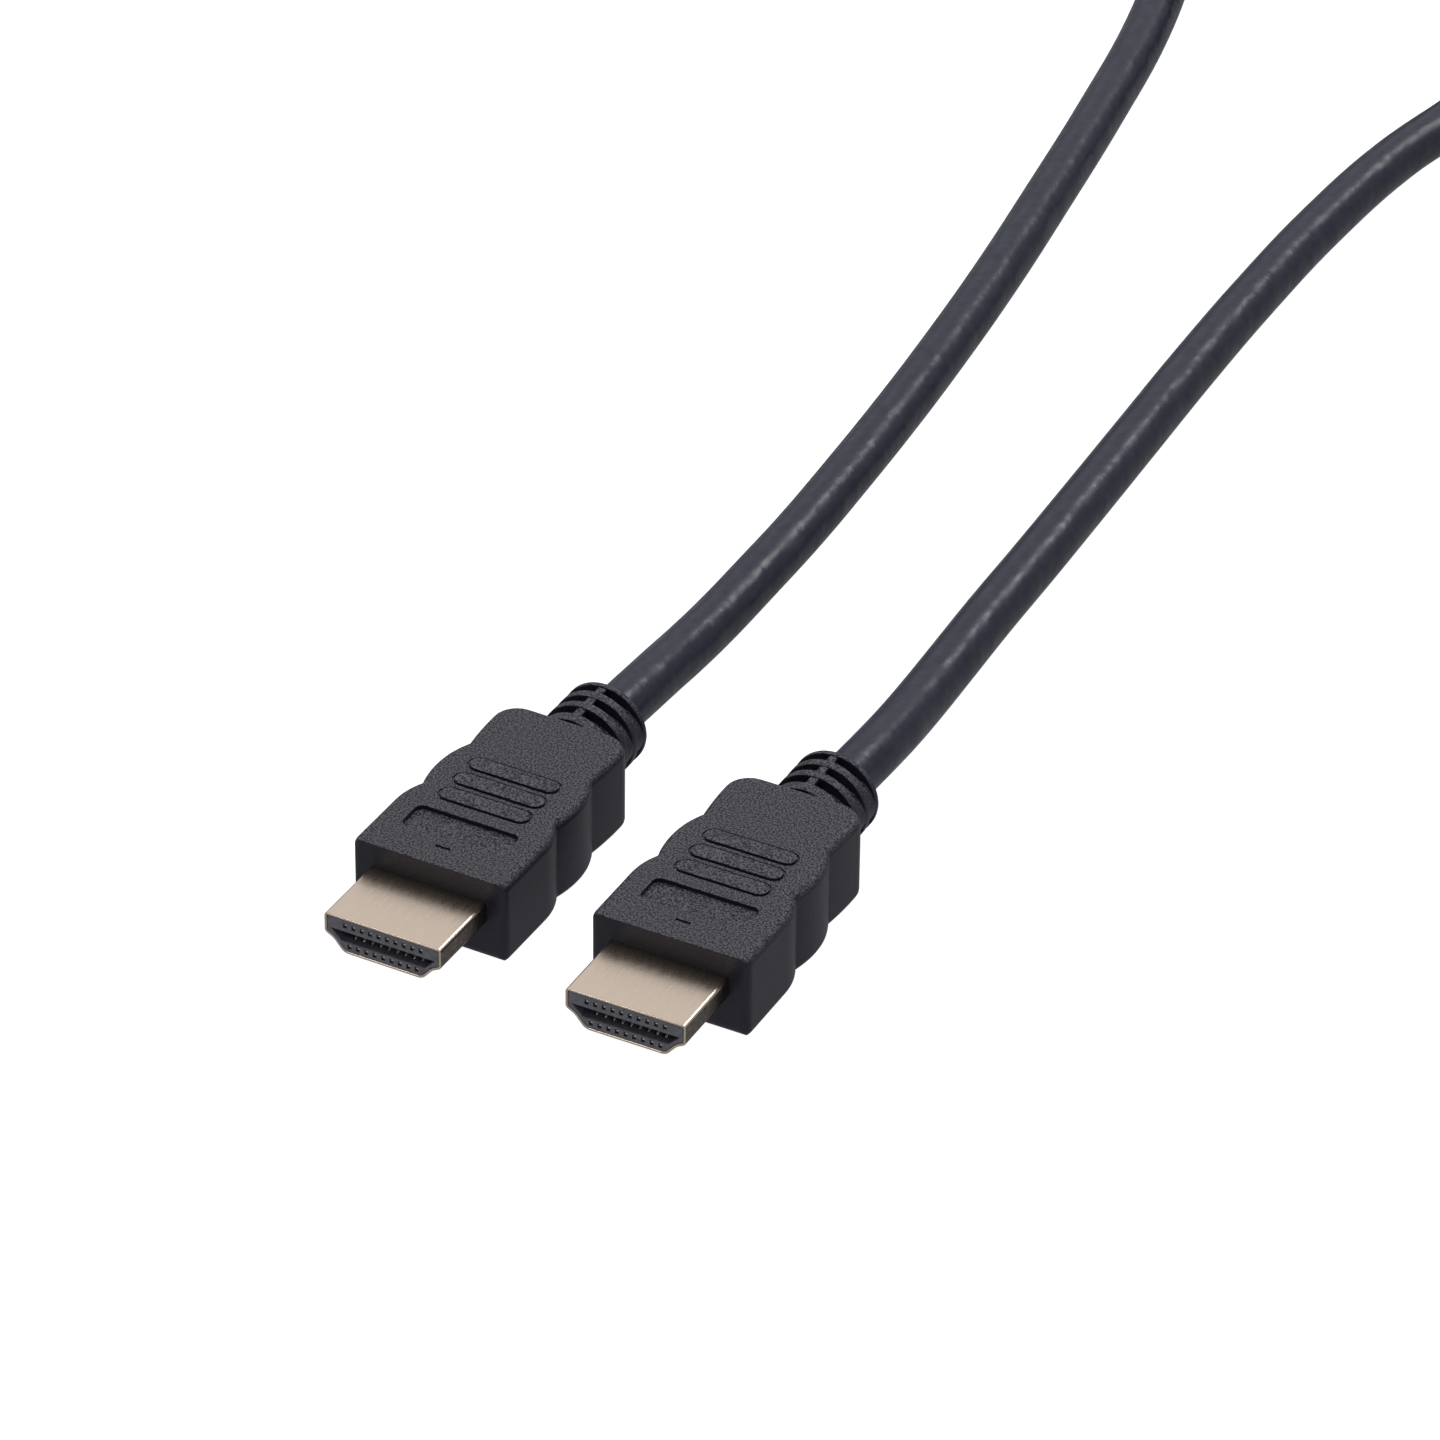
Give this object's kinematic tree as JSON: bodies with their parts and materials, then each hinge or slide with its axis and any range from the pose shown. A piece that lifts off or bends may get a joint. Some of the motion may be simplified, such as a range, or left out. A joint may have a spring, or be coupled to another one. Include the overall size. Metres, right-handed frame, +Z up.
{
  "type": "hdmi cable",
  "caption": "Flexible round video cable with a flat metal-shelled plug moulded on each end, both plugs side by side and the slack in a round coil.",
  "frame": {"origin": "middle of the underside of plug a's moulded body, on the surface that the cable lies on", "axes": "+Z up from the surface, -Y the way plug a's mouth faces, +X towards plug b"},
  "size_m": [0.0858, 0.3315, 0.0116],
  "materials": {
    "body_plastic": "fine moulded grain, black",
    "shell_metal": "satin champagne plating",
    "insulator_plastic": "smooth, dark grey",
    "contact_metal": "bright gold plating",
    "cord_jacket": "semi-gloss black vinyl"
  },
  "bodies": {
    "root": {"body_a": "body_plastic", "shell_a": "shell_metal", "insulator_a": "insulator_plastic", "body_b": "body_plastic", "shell_b": "shell_metal", "insulator_b": "insulator_plastic", "contact_a_01": "contact_metal", "contact_a_02": "contact_metal", "contact_a_03": "contact_metal", "contact_a_04": "contact_metal", "contact_a_05": "contact_metal", "contact_a_06": "contact_metal", "contact_a_07": "contact_metal", "contact_a_08": "contact_metal", "contact_a_09": "contact_metal", "contact_a_10": "contact_metal", "contact_a_11": "contact_metal", "contact_a_12": "contact_metal", "contact_a_13": "contact_metal", "contact_a_14": "contact_metal", "contact_a_15": "contact_metal", "contact_a_16": "contact_metal", "contact_a_17": "contact_metal", "contact_a_18": "contact_metal", "contact_a_19": "contact_metal", "contact_b_01": "contact_metal", "contact_b_02": "contact_metal", "contact_b_03": "contact_metal", "contact_b_04": "contact_metal", "contact_b_05": "contact_metal", "contact_b_06": "contact_metal", "contact_b_07": "contact_metal", "contact_b_08": "contact_metal", "contact_b_09": "contact_metal", "contact_b_10": "contact_metal", "contact_b_11": "contact_metal", "contact_b_12": "contact_metal", "contact_b_13": "contact_metal", "contact_b_14": "contact_metal", "contact_b_15": "contact_metal", "contact_b_16": "contact_metal", "contact_b_17": "contact_metal", "contact_b_18": "contact_metal", "contact_b_19": "contact_metal", "cord_run_a": "cord_jacket", "cord_coil": "cord_jacket", "cord_run_b": "cord_jacket"}
  },
  "joints": []
}
